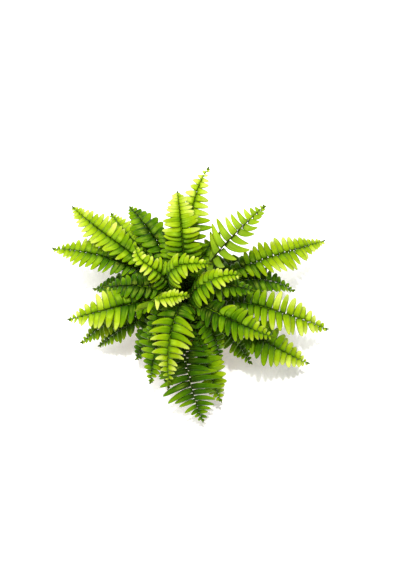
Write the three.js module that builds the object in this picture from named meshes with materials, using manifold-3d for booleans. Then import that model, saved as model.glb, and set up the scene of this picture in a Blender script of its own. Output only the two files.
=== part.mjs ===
// A potted sword fern: a clay pot, its potting mix, the fern's crown and one solid for each frond.
//
// Units are millimetres, +Z is up and the origin is the centre of the pot's base, on the surface it
// stands on. +Y is the plant's back and +X its right side. Each frond is a thin ribbon that rises from
// the crown, arches over and droops to its tip. Its section is a five-cornered kite: two blade edges,
// one ridge on the upper face and two corners on the midrib below.
import * as THREE from "three";
import Module from "manifold-3d";
import { mergeVertices } from "three/addons/utils/BufferGeometryUtils.js";

// Pot
const POT_HEIGHT = 112;
const POT_TOP_RADIUS = 64;
const POT_FOOT_RADIUS = 42;
const POT_WALL = 5;
const POT_FLOOR = 7;
const RIM_HEIGHT = 24;
const RIM_STEP = 4.5;
const FOOT_CHAMFER = 1.5;
const DRAIN_HOLES = 3;
const DRAIN_RADIUS = 5;
const DRAIN_RING_RADIUS = 22;
const RIM_ROUND = 2;
const TURNED_SIDES = 40;

// Potting mix and crown
const GAP = 0.3;
const MIX_TOP = 108;
const MIX_HEAP = 2;
const CROWN_RADIUS = 27;
const CROWN_SINK = 5;
const CROWN_HEIGHT = 12;
const CROWN_RINGS = [1, 0.8, 0.55, 0.3, 0];

// Fronds: the bare stipe is the first share of the length and the blade is the rest.
const STIPE_SHARE = 0.24;
const STIPE_STATIONS = 3;
const STIPE_HALF_WIDTH = 1.5;
const STIPE_TAPER = 0.6;
const STIPE_DEPTH = 2.6;
const TIP_DEPTH = 0.9;
const BLADE_STATIONS = 11;
const EDGE_DROOP = 0.12;
const RIDGE_SHARE = 0.35;
const KEEL_HALF_SHARE = 0.35;
const SECTION_CORNERS = 5;
const FOOT_LIFT = 1.2;
const KNEE_SHARE_OUT = 0.12;
const KNEE_SHARE_UP = 0.85;
const ROLL_COMPLETE_AT = 0.6;
const LIME_ABOVE = 140;

// Room between neighbouring fronds
const LEAST_GAP = 0.5;
const SHORT_OF_CONTACT = 0.6;
const CONTACT_REACH = 80;
const MOST_ROUNDS = 6;

const clay = new THREE.MeshStandardMaterial({ color: 0xb5653f, roughness: 0.85, metalness: 0 });
const mixBrown = new THREE.MeshStandardMaterial({ color: 0x3a2a1e, roughness: 1, metalness: 0 });
const crownBrown = new THREE.MeshStandardMaterial({ color: 0x5b4a2a, roughness: 0.95, metalness: 0 });
const limeGreen = new THREE.MeshStandardMaterial({ color: 0x9fc41f, roughness: 0.5, metalness: 0 });
const deepGreen = new THREE.MeshStandardMaterial({ color: 0x3f7a12, roughness: 0.55, metalness: 0 });

const wasm = await Module();
wasm.setup();

// A closed BufferGeometry as a manifold-3d solid.
function solidFrom(geometry) {
  const bare = geometry.clone();
  bare.deleteAttribute("normal");
  bare.deleteAttribute("uv");
  const merged = mergeVertices(bare, 1e-4);
  return new wasm.Manifold(
    new wasm.Mesh({
      numProp: 3,
      vertProperties: new Float32Array(merged.attributes.position.array),
      triVerts: new Uint32Array(merged.index.array),
    }),
  );
}

// A manifold-3d solid as a BufferGeometry.
function geometryFrom(solid) {
  const mesh = solid.getMesh();
  const geometry = new THREE.BufferGeometry();
  geometry.setAttribute("position", new THREE.BufferAttribute(mesh.vertProperties, 3));
  geometry.setIndex(new THREE.BufferAttribute(mesh.triVerts, 1));
  geometry.computeVertexNormals();
  return geometry;
}

// A lathe's profile of [radius, height] pairs, turned to stand along +Z.
function turned(profile) {
  const points = profile.map(([radius, height]) => new THREE.Vector2(radius, height));
  return new THREE.LatheGeometry(points, TURNED_SIDES).rotateX(Math.PI / 2);
}

function named(name, geometry, material) {
  const mesh = new THREE.Mesh(geometry, material);
  mesh.name = name;
  return mesh;
}

// The outside radius of the pot's tapered body at a height.
function bodyRadius(height) {
  const share = height / POT_HEIGHT;
  return POT_FOOT_RADIUS + (POT_TOP_RADIUS - RIM_STEP - POT_FOOT_RADIUS) * share;
}

// The radius of the pot's inside at a height.
function boreRadius(height) {
  return bodyRadius(height) - POT_WALL;
}

// A tapered clay pot with a raised rim band and three drain holes round the middle of its floor.
function potGeometry() {
  const rimFoot = POT_HEIGHT - RIM_HEIGHT;
  const profile = [
    [0, 0],
    [POT_FOOT_RADIUS - FOOT_CHAMFER, 0],
    [POT_FOOT_RADIUS, FOOT_CHAMFER],
    [bodyRadius(rimFoot), rimFoot],
    [bodyRadius(rimFoot) + RIM_STEP, rimFoot + RIM_ROUND],
    [POT_TOP_RADIUS, POT_HEIGHT - RIM_ROUND],
    [POT_TOP_RADIUS - RIM_ROUND, POT_HEIGHT],
    [boreRadius(POT_HEIGHT) + RIM_ROUND, POT_HEIGHT],
    [boreRadius(POT_HEIGHT - RIM_ROUND), POT_HEIGHT - RIM_ROUND],
    [boreRadius(POT_FLOOR), POT_FLOOR],
    [0, POT_FLOOR],
  ];
  let pot = solidFrom(turned(profile));
  for (let i = 0; i < DRAIN_HOLES; i++) {
    const angle = (i / DRAIN_HOLES) * 2 * Math.PI + Math.PI / 2;
    const drill = new THREE.CylinderGeometry(DRAIN_RADIUS, DRAIN_RADIUS, 4 * POT_FLOOR, 16);
    drill.rotateX(Math.PI / 2);
    drill.translate(DRAIN_RING_RADIUS * Math.cos(angle), DRAIN_RING_RADIUS * Math.sin(angle), 0);
    pot = pot.subtract(solidFrom(drill));
  }
  return geometryFrom(pot);
}

// The mix fills the pot to a little under its rim, with a socket in the middle for the crown.
function mixGeometry() {
  const floor = POT_FLOOR + GAP;
  const heaped = MIX_TOP + MIX_HEAP;
  const wallSide = boreRadius(MIX_TOP) - GAP;
  const socket = CROWN_RADIUS + GAP;
  return turned([
    [0, floor],
    [boreRadius(floor) - GAP, floor],
    [wallSide, MIX_TOP],
    [(wallSide + socket) / 2, MIX_TOP + 0.8 * MIX_HEAP],
    [socket, heaped],
    [socket, heaped - CROWN_SINK],
    [0, heaped - CROWN_SINK],
  ]);
}

const crownFoot = MIX_TOP + MIX_HEAP - CROWN_SINK + GAP;

// The crown's height at a radius: a low dome, over an upright edge a third as high.
function crownTop(radius) {
  const share = Math.min(1, radius / CROWN_RADIUS);
  return crownFoot + CROWN_HEIGHT * (1 - (2 / 3) * share ** 2);
}

function crownGeometry() {
  const dome = CROWN_RINGS.map((share) => [share * CROWN_RADIUS, crownTop(share * CROWN_RADIUS)]);
  return turned([[0, crownFoot], [CROWN_RADIUS, crownFoot], ...dome]);
}

// A point from its azimuth in degrees, its distance from the pot's axis and its height.
function place([azimuth, radius, height]) {
  const angle = THREE.MathUtils.degToRad(azimuth);
  return new THREE.Vector3(radius * Math.cos(angle), radius * Math.sin(angle), height);
}

// The blade's width along its length, as a share of its widest: blunt at its foot, pointed at its tip.
function bladeShape(share) {
  return Math.sin(Math.PI * share ** 0.75) ** 0.6;
}

// The frond's curve, from its foot on the crown through a steep stipe and a crest to its drooping tip.
function frondCurve({ foot, knee, crest, tip }) {
  const [footAzimuth, footRadius] = foot;
  const start = place([footAzimuth, footRadius, crownTop(footRadius) + FOOT_LIFT]);
  const kneeHeight = start.z + KNEE_SHARE_UP * (crest[2] - start.z);
  const bend = knee ?? [footAzimuth, footRadius + KNEE_SHARE_OUT * tip[1], kneeHeight];
  return new THREE.CubicBezierCurve3(start, place(bend), place(crest), place(tip));
}

// The sections of a frond: their middle, tangent, side and face directions, half-width and depth.
function frondSections(frond) {
  const curve = frondCurve(frond);
  const stipe = Array.from({ length: STIPE_STATIONS }, (_, i) => (i / STIPE_STATIONS) * STIPE_SHARE);
  const blade = Array.from({ length: BLADE_STATIONS }, (_, i) => {
    return STIPE_SHARE + (1 - STIPE_SHARE) * (i / (BLADE_STATIONS - 1));
  });
  const chord = place(frond.tip).sub(place([frond.foot[0], frond.foot[1], frond.tip[2]]));
  const heading = new THREE.Vector3(chord.x, chord.y, 0).normalize();
  const level = new THREE.Vector3(heading.y, -heading.x, 0);
  return [...stipe, ...blade].map((along) => {
    const middle = curve.getPointAt(along);
    const tangent = curve.getTangentAt(along);
    const side = level.clone().addScaledVector(tangent, -level.dot(tangent)).normalize();
    const face = new THREE.Vector3().crossVectors(side, tangent);
    const rolled = THREE.MathUtils.smoothstep(along, 0, ROLL_COMPLETE_AT);
    const roll = THREE.MathUtils.degToRad(frond.roll ?? 0) * rolled;
    side.applyAxisAngle(tangent, roll);
    face.applyAxisAngle(tangent, roll);
    const share = Math.max(0, (along - STIPE_SHARE) / (1 - STIPE_SHARE));
    const stipeHalf = STIPE_HALF_WIDTH * (1 - STIPE_TAPER * along);
    const half = Math.max(stipeHalf, (frond.width / 2) * bladeShape(share));
    const depth = THREE.MathUtils.lerp(STIPE_DEPTH, TIP_DEPTH, along);
    return { middle, tangent, side, face, depth, half: [half, half] };
  });
}

// The closed ribbon through a frond's sections, made thicker by extra when it is tested for room.
function frondGeometry(sections, extra = 0) {
  const corners = [];
  for (const { middle, side, face, depth, half } of sections) {
    const at = (across, up) => middle.clone().addScaledVector(side, across).addScaledVector(face, up);
    const [left, right] = half;
    const keel = KEEL_HALF_SHARE * depth + extra / 2;
    const below = (1 - RIDGE_SHARE) * depth + extra;
    corners.push(at(-left - extra, -EDGE_DROOP * left));
    corners.push(at(0, RIDGE_SHARE * depth + extra));
    corners.push(at(right + extra, -EDGE_DROOP * right));
    corners.push(at(keel, -below));
    corners.push(at(-keel, -below));
  }
  const faces = [];
  for (let s = 0; s + 1 < sections.length; s++) {
    for (let c = 0; c < SECTION_CORNERS; c++) {
      const a = s * SECTION_CORNERS + c;
      const b = s * SECTION_CORNERS + ((c + 1) % SECTION_CORNERS);
      faces.push(a, b, a + SECTION_CORNERS, b, b + SECTION_CORNERS, a + SECTION_CORNERS);
    }
  }
  const last = (sections.length - 1) * SECTION_CORNERS;
  for (let c = 1; c + 1 < SECTION_CORNERS; c++) {
    faces.push(0, c + 1, c);
    faces.push(last, last + c, last + c + 1);
  }
  const geometry = new THREE.BufferGeometry().setFromPoints(corners);
  geometry.setIndex(faces);
  geometry.computeVertexNormals();
  return geometry;
}

// Each frond: its foot [azimuth, radius] on the crown, its crest and tip [azimuth, radius, height], the
// width of its blade, its roll about the midrib in degrees and, where it doesn't rise straight, a knee.
const fronds = [
  // Tall ones in the middle and at the back, the highest first.
  { name: "frond_back_upright", foot: [96, 5], crest: [96, 62, 286], tip: [96, 109, 236], width: 50 },
  { name: "frond_back_tall", foot: [84, 10], crest: [89, 90, 262], tip: [79, 155, 222], width: 48 },
  { name: "frond_turned", foot: [36, 9], crest: [37, 92, 250], tip: [45, 151, 200], width: 52, roll: 168 },
  {
    name: "frond_over_middle",
    foot: [200, 7], knee: [186, 26, 196], crest: [172, 36, 262], tip: [14, 31, 236], width: 44,
  },
  {
    name: "frond_front_right_high",
    foot: [290, 6], knee: [285, 22, 190], crest: [330, 25, 256], tip: [357, 70, 226], width: 46,
  },
  {
    name: "frond_centre_small",
    foot: [215, 13], knee: [212, 70, 160], crest: [212, 76, 242], tip: [274, 27, 212], width: 40,
  },
  { name: "frond_front", foot: [262, 13], crest: [251, 84, 240], tip: [259, 124, 130], width: 54 },
  { name: "frond_left_small", foot: [160, 14], crest: [176, 66, 236], tip: [147, 79, 205], width: 34 },
  { name: "frond_front_right", foot: [300, 14], crest: [306, 78, 222], tip: [331, 132, 150], width: 50 },
  { name: "frond_back_left_inner", foot: [133, 21], crest: [140, 97, 164], tip: [128, 185, 88], width: 40 },
  // The ones that arch out to the sides.
  { name: "frond_right_back", foot: [27, 15], crest: [18, 128, 190], tip: [27, 226, 85], width: 52 },
  { name: "frond_right_inner", foot: [8, 22], crest: [16, 99, 176], tip: [8, 154, 96], width: 56 },
  { name: "frond_right", foot: [350, 20], crest: [344, 126, 184], tip: [351, 203, 80], width: 56 },
  { name: "frond_right_front", foot: [330, 22], crest: [320, 110, 168], tip: [336, 190, 60], width: 56 },
  { name: "frond_back_left_outer", foot: [147, 14], crest: [153, 105, 194], tip: [139, 224, 108], width: 50 },
  { name: "frond_back_left_dark", foot: [115, 21], crest: [122, 98, 178], tip: [120, 168, 112], width: 48 },
  { name: "frond_left_back", foot: [152, 21], crest: [153, 120, 168], tip: [155, 219, 80], width: 48 },
  { name: "frond_left", foot: [200, 20], crest: [202, 85, 192], tip: [189, 167, 108], width: 56 },
  { name: "frond_front_low", foot: [268, 22], crest: [264, 105, 165], tip: [278, 160, 52], width: 66 },
  { name: "frond_front_drooping", foot: [285, 24], crest: [282, 85, 146], tip: [290, 140, 60], width: 48 },
  { name: "frond_front_left_low", foot: [235, 24], crest: [239, 83, 168], tip: [245, 120, 80], width: 50 },
  { name: "frond_left_under", foot: [196, 25], crest: [192, 100, 136], tip: [195, 160, 45], width: 34 },
  { name: "frond_left_under_short", foot: [207, 24], crest: [203, 90, 132], tip: [200, 136, 45], width: 34 },
  // The skirt of old low fronds all round.
  { name: "frond_skirt_01", foot: [60, 25], crest: [62, 60, 150], tip: [66, 100, 62], width: 44 },
  { name: "frond_skirt_02", foot: [92, 25], crest: [92, 66, 158], tip: [94, 104, 62], width: 38 },
  { name: "frond_skirt_03", foot: [162, 25], crest: [164, 80, 150], tip: [166, 140, 66], width: 42 },
  { name: "frond_skirt_04", foot: [176, 25], crest: [178, 80, 160], tip: [176, 124, 82], width: 36 },
  { name: "frond_skirt_05", foot: [224, 25], crest: [224, 70, 146], tip: [224, 100, 60], width: 44 },
  { name: "frond_skirt_06", foot: [256, 25], crest: [254, 74, 146], tip: [256, 112, 44], width: 40 },
  { name: "frond_skirt_07", foot: [306, 25], crest: [303, 66, 178], tip: [300, 94, 98], width: 34 },
  { name: "frond_skirt_08", foot: [320, 25], crest: [320, 76, 142], tip: [321, 118, 52], width: 44 },
  { name: "frond_skirt_09", foot: [342, 25], crest: [340, 72, 158], tip: [340, 112, 70], width: 38 },
  { name: "frond_skirt_10", foot: [0, 25], crest: [2, 80, 140], tip: [3, 124, 56], width: 40 },
  { name: "frond_skirt_11", foot: [18, 25], crest: [16, 80, 150], tip: [16, 130, 64], width: 40 },
  { name: "frond_skirt_12", foot: [40, 25], crest: [40, 75, 156], tip: [40, 116, 74], width: 44 },
  { name: "frond_skirt_13", foot: [120, 25], crest: [118, 74, 150], tip: [118, 116, 56], width: 32 },
  { name: "frond_skirt_14", foot: [142, 25], crest: [140, 80, 148], tip: [140, 140, 56], width: 42 },
  // Short ones between, half grown.
  { name: "frond_young_01", foot: [112, 14], crest: [112, 66, 208], tip: [112, 96, 150], width: 36 },
  { name: "frond_young_02", foot: [62, 14], crest: [60, 56, 196], tip: [62, 96, 156], width: 32 },
  { name: "frond_young_03", foot: [230, 18], crest: [230, 58, 204], tip: [234, 84, 150], width: 34 },
  { name: "frond_young_04", foot: [340, 12], crest: [345, 60, 228], tip: [352, 90, 190], width: 36 },
  { name: "frond_young_05", foot: [190, 14], crest: [186, 70, 206], tip: [176, 112, 146], width: 34 },
];

// Where a frond meets another, which of its sections and sides they share and how far out.
function contacts(sections, shared) {
  const { vertProperties, numProp } = shared.getMesh();
  const found = [];
  for (let v = 0; v < vertProperties.length; v += numProp) {
    const point = new THREE.Vector3(vertProperties[v], vertProperties[v + 1], vertProperties[v + 2]);
    const lengths = sections.map(({ middle }) => middle.distanceTo(point));
    let near = 0;
    sections.forEach(({ middle, tangent }, s) => {
      const along = Math.abs(point.clone().sub(middle).dot(tangent));
      const best = Math.abs(point.clone().sub(sections[near].middle).dot(sections[near].tangent));
      if (lengths[s] < CONTACT_REACH && (along < best || lengths[near] >= CONTACT_REACH)) near = s;
    });
    const across = point.clone().sub(sections[near].middle).dot(sections[near].side);
    found.push({ near, hand: across < 0 ? 0 : 1, out: Math.abs(across) });
  }
  return found;
}

// Narrows one frond's blade so that it ends short of these contacts.
function narrow(sections, found) {
  for (const { near, hand, out } of found) {
    for (const s of [near - 1, near, near + 1]) {
      if (s < STIPE_STATIONS || s >= sections.length) continue;
      const half = sections[s].half;
      half[hand] = Math.max(STIPE_HALF_WIDTH, Math.min(half[hand], out - SHORT_OF_CONTACT));
    }
  }
}

// Where two blades would touch, the one that is met further out on its blade ends short of the other.
function makeRoom(all) {
  for (let round = 0; round < MOST_ROUNDS; round++) {
    const solids = all.map((sections) => solidFrom(frondGeometry(sections, LEAST_GAP / 2)));
    let meetings = 0;
    for (let i = 0; i < all.length; i++) {
      for (let j = i + 1; j < all.length; j++) {
        const shared = solids[i].intersect(solids[j]);
        if (shared.isEmpty()) continue;
        meetings++;
        const first = contacts(all[i], shared);
        const second = contacts(all[j], shared);
        const reach = (found) => Math.min(...found.map(({ out }) => out));
        if (reach(first) > reach(second)) narrow(all[i], first);
        else narrow(all[j], second);
      }
    }
    if (!meetings) return;
  }
}

const fern = new THREE.Group();
fern.add(named("pot", potGeometry(), clay));
fern.add(named("potting_mix", mixGeometry(), mixBrown));
fern.add(named("crown", crownGeometry(), crownBrown));
const allSections = fronds.map(frondSections);
makeRoom(allSections);
fronds.forEach((frond, i) => {
  const green = frond.tip[2] > LIME_ABOVE ? limeGreen : deepGreen;
  fern.add(named(frond.name, frondGeometry(allSections[i]), green));
});

export default fern;
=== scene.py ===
"""A potted sword fern, dressed for the camera.

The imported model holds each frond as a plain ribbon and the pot, mix and crown as plain turned solids.
This script reads every ribbon's midrib, width and facing from its mesh, and grows the real frond
along it: a tapered stalk, two rows of arched leaflets and a coiled tip. The pot, the mix and the scaly
crown are built round the sizes of their own nodes. Lengths are in metres, in the model's frame.
"""

import math

import bpy
import numpy as np
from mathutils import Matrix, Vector, noise

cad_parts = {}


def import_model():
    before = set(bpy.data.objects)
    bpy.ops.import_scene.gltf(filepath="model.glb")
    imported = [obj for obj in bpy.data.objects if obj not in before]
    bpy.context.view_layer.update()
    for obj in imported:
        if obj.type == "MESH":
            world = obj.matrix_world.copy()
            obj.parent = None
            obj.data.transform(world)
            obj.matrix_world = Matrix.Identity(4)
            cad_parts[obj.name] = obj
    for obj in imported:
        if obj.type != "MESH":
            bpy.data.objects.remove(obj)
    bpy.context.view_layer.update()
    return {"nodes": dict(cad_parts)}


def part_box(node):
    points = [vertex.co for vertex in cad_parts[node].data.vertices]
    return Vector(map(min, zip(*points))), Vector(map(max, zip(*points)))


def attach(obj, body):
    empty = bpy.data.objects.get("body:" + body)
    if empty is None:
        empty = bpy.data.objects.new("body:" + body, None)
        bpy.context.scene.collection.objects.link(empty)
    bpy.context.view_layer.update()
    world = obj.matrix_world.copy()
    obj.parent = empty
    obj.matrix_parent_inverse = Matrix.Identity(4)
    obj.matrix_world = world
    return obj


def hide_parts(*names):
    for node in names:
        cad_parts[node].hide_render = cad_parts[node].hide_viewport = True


MM = 0.001
SEED = 11

# View: the camera looks down past the middle of the crown.
CROWN_LEVEL = 108 * MM
VIEW_ELEVATION = math.radians(70)
VIEW_DISTANCE = 1250 * MM
VIEW_RIGHT_OF_CROWN = 18.6 * MM
VIEW_ABOVE_CROWN = 24.3 * MM
LENS = 55.26

# Light
WORLD_STRENGTH = 0.38
WORLD_COLOUR = (1.0, 0.98, 0.80, 1)
SUN_TILT = math.radians(-1.7)
SUN_ANGLE = math.radians(2.2)
SUN_STRENGTH = 2.1
SOFTBOX_PLACE = (-0.35, 0.15, 1.9)
SOFTBOX_AIM = Vector((0, 0, 0.1))
SOFTBOX_SIZE = 1.2
SOFTBOX_POWER = 40
FLOOR_REACH = 4.0
FLOOR_GLOW = 0.27
LEAF_GLOSS = (0.8, 1.0, 0.1, 1)

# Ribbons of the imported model: the corners of a section, how far below the ridge the midrib runs, the
# rings before the blade starts, and the blade's outline. WELD joins corners that coincide.
SECTION_CORNERS = 5
RIDGE_SHARE = 0.35
STIPE_RINGS = 3
BLADE_WIDEST = 0.42
BLADE_FULLNESS = 0.7
SEEN_AT_LEAST = 0.6
WELD = 0.02 * MM

# Leaflets: the pitch along the stalk grows with how far they reach. Each turns on its own length
# towards the light, which comes from above and in front. They taper evenly to the frond's tip, by
# their distance from it as the light sees it. Young leaflets near the tip slant and point more.
LEAFLET_ROWS = 13
LEAFLET_COLUMNS = 6
LEAST_PITCH = 6.0 * MM
PITCH_PER_REACH = 0.11
LEAFLET_THICKNESS = 0.22 * MM
LIFT = math.radians(14)
TOWARDS_LIGHT = np.array([0, -math.sin(math.radians(20)), math.cos(math.radians(20))])
LEAST_RUN = 0.74
FACING_SHARE = 0.86
MOST_FACING = math.radians(56)
STIPE_REACH = 19 * MM
TAPER_FROM = 0.4
TIP_REACH = 3.6 * MM
TIP_REACH_SLOPE = 0.35
REACH_GAIN = 1.04
BARE_TIP = 3 * MM
LEAFLET_RAISE = 0.3 * MM
YOUNG_FROM = 0.72
SLANT_ALONG = 6
SLANT_YOUNG = 12

# A leaflet's section and the ear beside its foot, as shares of its width and length
ARCH = 0.14
GROOVE_DEPTH = 0.10
GROOVE_HALF_WIDTH = 0.24
EAR_BULGE = 0.30
EAR_PLACE = 0.05
EAR_LENGTH = 0.10

# Chance differences between leaflets, as standard deviations: of angles in degrees, and of length,
# sickle and drop as shares of the length
SLANT_SPREAD = 4
LENGTH_SPREAD = 0.06
LIFT_SPREAD = 8
SICKLE_SPREAD = 0.03
TILT_SPREAD = 9
TWIST_SPREAD = 13
DROP_SPREAD = 0.06
TONE_SPREAD = 0.08

# How each frond differs: its tone from 0 (deep green) to 1 (lime), partly its own green and partly painted
# shade, so that fronds lying in the plant's shade have low tones; the shares of its length between which it
# lightens out of the painted shade at its foot; its pitch as a multiple, the leaflets' breadth as a share of
# the pitch, point from 0 (blunt) to 1 (triangular), slant and tilt in degrees, sickle and drop as shares of
# their length, how far the leaflets reach, how fast they taper to the tip and how thick the stalk is, as
# multiples, and the share of the length at which they start.
PLAIN_LOOK = {
    "tone": 0.27,
    "fade": (0.1, 0.7),
    "pitch": 1.0,
    "breadth": 1.28,
    "point": 0.15,
    "slant": 3,
    "sickle": 0.10,
    "tilt": -10,
    "drop": 0.16,
    "reach": 1.0,
    "taper": 1.0,
    "start": 0.04,
    "stalk": 1.0,
}
LOOKS = {
    "back_upright": {
        "tone": 0.9,
        "fade": (0.35, 0.9),
        "pitch": 0.68,
        "breadth": 1.45,
        "point": 0.1,
        "slant": -4,
        "sickle": 0.14,
        "tilt": -4,
        "reach": 0.92,
        "taper": 1.5,
    },
    "back_tall": {
        "tone": 0.92,
        "fade": (0.3, 0.8),
        "pitch": 1.2,
        "breadth": 1.15,
        "point": 0.6,
        "slant": -4,
        "tilt": 0,
        "taper": 0.85,
    },
    "turned": {
        "tone": 0.58,
        "fade": (0.1, 0.6),
        "pitch": 1.2,
        "breadth": 1.0,
        "point": 0.45,
        "slant": 0,
        "sickle": 0.27,
        "tilt": 0,
        "reach": 1.2,
        "taper": 1.15,
        "start": 0.16,
        "stalk": 1.45,
    },
    "over_middle": {
        "tone": 0.64,
        "fade": (0.35, 0.75),
        "pitch": 0.8,
        "breadth": 1.35,
        "point": 0.25,
        "sickle": 0.2,
        "reach": 1.18,
        "start": 0.3,
    },
    "front_right_high": {
        "tone": 0.64,
        "fade": (0.3, 0.8),
        "pitch": 0.85,
        "breadth": 1.35,
        "point": 0.25,
        "sickle": 0.2,
        "reach": 1.05,
    },
    "centre_small": {
        "tone": 0.74,
        "fade": (0.45, 0.8),
        "pitch": 0.72,
        "breadth": 1.4,
        "sickle": 0.2,
        "reach": 1.8,
        "start": 0.56,
    },
    "front": {
        "tone": 0.76,
        "fade": (0.25, 0.75),
        "pitch": 1.1,
        "breadth": 1.2,
        "point": 0.35,
        "slant": -12,
        "sickle": 0.42,
        "drop": 0.22,
        "reach": 0.98,
    },
    "left_small": {
        "tone": 0.76,
        "fade": (0.35, 0.75),
        "pitch": 0.85,
        "breadth": 1.35,
        "point": 0.25,
        "slant": -4,
        "sickle": 0.2,
        "reach": 1.2,
    },
    "front_right": {"tone": 0.62, "fade": (0.3, 0.85), "point": 0.25, "sickle": 0.22, "reach": 0.9},
    "right_back": {
        "tone": 0.76,
        "fade": (0.2, 0.55),
        "breadth": 1.15,
        "point": 0.1,
        "sickle": 0.08,
        "taper": 1.05,
    },
    "right": {
        "tone": 0.8,
        "fade": (0.15, 0.65),
        "pitch": 1.15,
        "breadth": 1.1,
        "point": 0.25,
        "taper": 1.15,
    },
    "right_inner": {
        "tone": 0.44,
        "fade": (0.35, 0.95),
        "breadth": 1.15,
        "point": 0.2,
        "sickle": 0.2,
    },
    "right_front": {
        "tone": 0.78,
        "fade": (0.35, 0.85),
        "pitch": 1.1,
        "sickle": 0.14,
        "taper": 1.15,
    },
    "back_left_outer": {
        "tone": 0.8,
        "fade": (0.15, 0.7),
        "point": 0.3,
        "sickle": 0.18,
        "reach": 0.9,
        "taper": 1.1,
    },
    "back_left_inner": {
        "tone": 0.72,
        "fade": (0.15, 0.7),
        "point": 0.35,
        "sickle": 0.18,
        "reach": 1.15,
        "taper": 1.2,
    },
    "back_left_dark": {
        "tone": 0.38,
        "pitch": 1.25,
        "breadth": 1.3,
        "point": 0.05,
        "sickle": 0.2,
        "reach": 0.95,
        "taper": 1.3,
    },
    "left_back": {
        "tone": 0.7,
        "fade": (0.2, 0.8),
        "pitch": 1.05,
        "point": 0.45,
        "sickle": 0.14,
        "taper": 1.15,
    },
    "left": {
        "tone": 0.76,
        "fade": (0.2, 0.7),
        "pitch": 1.1,
        "point": 0.3,
        "sickle": 0.18,
        "reach": 1.1,
        "taper": 1.2,
    },
    "front_low": {
        "tone": 0.42,
        "fade": (0.15, 0.9),
        "pitch": 0.9,
        "breadth": 1.05,
        "point": 0.2,
        "slant": -3,
        "sickle": 0.22,
        "reach": 1.2,
        "taper": 1.9,
    },
    "front_drooping": {"tone": 0.58, "taper": 1.4},
    "front_left_low": {"tone": 0.42, "point": 0.25, "reach": 1.25, "taper": 1.2},
    "left_under": {"tone": 0.6, "point": 0.35},
    "left_under_short": {"tone": 0.5, "point": 0.35},
    "skirt_03": {"tone": 0.24, "reach": 1.1, "taper": 1.2},
    "skirt_05": {"tone": 0.24, "reach": 1.3, "taper": 1.3},
    "skirt_06": {"tone": 0.24, "reach": 1.2, "taper": 1.3},
    "skirt_07": {"tone": 0.3, "reach": 1.15},
    "skirt_08": {"tone": 0.34},
    "young_01": {"tone": 0.24, "sickle": 0.2},
    "young_02": {"tone": 0.5, "fade": (0.2, 0.6), "pitch": 1.2, "point": 0.45, "sickle": 0.25},
    "young_03": {"tone": 0.3, "sickle": 0.2},
    "young_04": {"tone": 0.22, "sickle": 0.2},
    "young_05": {"tone": 0.2, "sickle": 0.2},
}

# Stalks
STALK_SIDES = 8
STALK_STATIONS = 40
STALK_RADIUS_FOOT = 1.25 * MM
STALK_RADIUS_TIP = 0.36 * MM
STALK_TAPER = 0.38
COIL_RADIUS = 2.5 * MM
COIL_TURNS = 1.4
COIL_STATIONS = 22
TIP_LEAFLETS_BACK = (0.2 * MM, 0.8 * MM, 1.6 * MM, 2.4 * MM)

# Pot
POT_SEGMENTS = 128
POT_WALL = 5 * MM
POT_FLOOR = 7 * MM
POT_TAPER = 0.656
RIM_HEIGHT = 24 * MM
RIM_STEP = 4.5 * MM
LIP_HALF_WIDTH = 4.4 * MM
LIP_HALF_HEIGHT = 2.4 * MM
LIP_INSET = 4.6 * MM
DRAIN_HOLES = 3
DRAIN_RADIUS = 5 * MM
DRAIN_RING_RADIUS = 22 * MM
SHARP_ANGLE = math.radians(35)

# Potting mix and crown
MIX_HEAP = 2 * MM
MIX_ROUGHNESS = 0.9 * MM
MIX_UNDER_GRANULES = 0.6 * MM
MIX_RINGS = 26
MIX_SEGMENTS = 120
GRANULES = 900
PERLITE_SHARE = 0.06
LARGEST_GRANULE = 2.1 * MM
CROWN_SCALES = 420
CROWN_STUBS = 26
CROWN_KNOBS = 0.8 * MM

# Colours, linear; a list is a ramp of positions and colours.
LEAF_GREENS = [
    (0.0, (0.005, 0.031, 0.0001)),
    (0.25, (0.033, 0.122, 0.0003)),
    (0.5, (0.155, 0.305, 0.0010)),
    (0.75, (0.330, 0.470, 0.004)),
    (1.0, (0.680, 0.780, 0.130)),
]
# Painted shade: the leaf green is darkened at each leaflet's foot, where it meets the stalk.
LEAF_FOOT_PAINTED_SHADE = [(0.0, (0.50, 0.60, 0.50)), (0.27, (1, 1, 1))]
RIB_GREEN = (0.36, 0.50, 0.05)
VEIN_GREEN = (0.02, 0.09, 0.001)
UNDERSIDE_GREEN = (0.32, 0.44, 0.03)
STALK_GREENS = [
    (0.0, (0.030, 0.050, 0.002)),
    (0.2, (0.035, 0.105, 0.001)),
    (0.5, (0.130, 0.270, 0.001)),
    (1.0, (0.180, 0.320, 0.003)),
]
STALK_DARKS = [(0.008, 0.014, 0.002), (0.034, 0.044, 0.008)]
CLAY_TONES = [(0.3, (0.42, 0.155, 0.075)), (0.52, (0.53, 0.215, 0.105)), (0.72, (0.62, 0.29, 0.16))]
GRIT_COLOUR = (0.70, 0.42, 0.28)
BLOOM_COLOUR = (0.80, 0.68, 0.56)
EARTH_TONES = [(0.1, (0.009, 0.006, 0.004)), (0.5, (0.035, 0.02, 0.011)), (0.9, (0.12, 0.068, 0.034))]
PERLITE_WHITES = [(0.45, 0.43, 0.39), (0.80, 0.79, 0.75)]
# The crown's scales are coloured near-black green, partly their own dark colour and partly painted deep
# shade at the heart of the plant.
SCALE_TONES_AND_SHADE = [(0.0, (0.008, 0.020, 0.001)), (0.5, (0.026, 0.050, 0.004)), (1.0, (0.080, 0.105, 0.016))]
SCALE_END = (0.12, 0.13, 0.03)
FLOOR_GREYS = [(0.86, 0.86, 0.86), (0.88, 0.88, 0.88)]


def smooth(low, high, x):
    """0 below low, 1 above high and a smooth step between."""
    s = np.clip((x - low) / (high - low), 0, 1)
    return s * s * (3 - 2 * s)


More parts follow.
